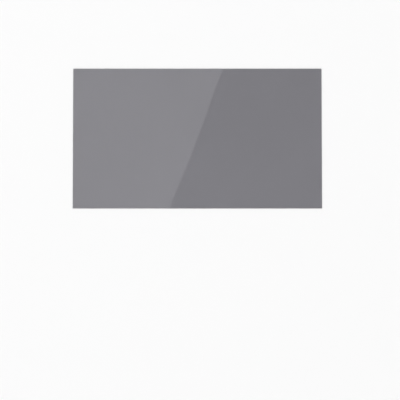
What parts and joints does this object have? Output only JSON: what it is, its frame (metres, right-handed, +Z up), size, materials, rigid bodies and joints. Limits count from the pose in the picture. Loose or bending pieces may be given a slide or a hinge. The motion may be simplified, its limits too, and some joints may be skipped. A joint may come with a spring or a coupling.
{
  "type": "laptop privacy filter",
  "caption": "Thin stiff smoked plastic sheet with square die-cut corners that slides in front of a wide laptop screen to narrow the viewing angle.",
  "frame": {"origin": "centre of the sheet on its screen side, which is the side it lies on", "axes": "+X towards the viewer's right along the sheet's width, +Y towards its upper edge, +Z up out of its viewing side"},
  "size_m": [0.344, 0.194, 0.0005],
  "materials": {
    "smoked_film": "gloss"
  },
  "bodies": {
    "root": {"filter_sheet": "smoked_film"}
  },
  "joints": []
}
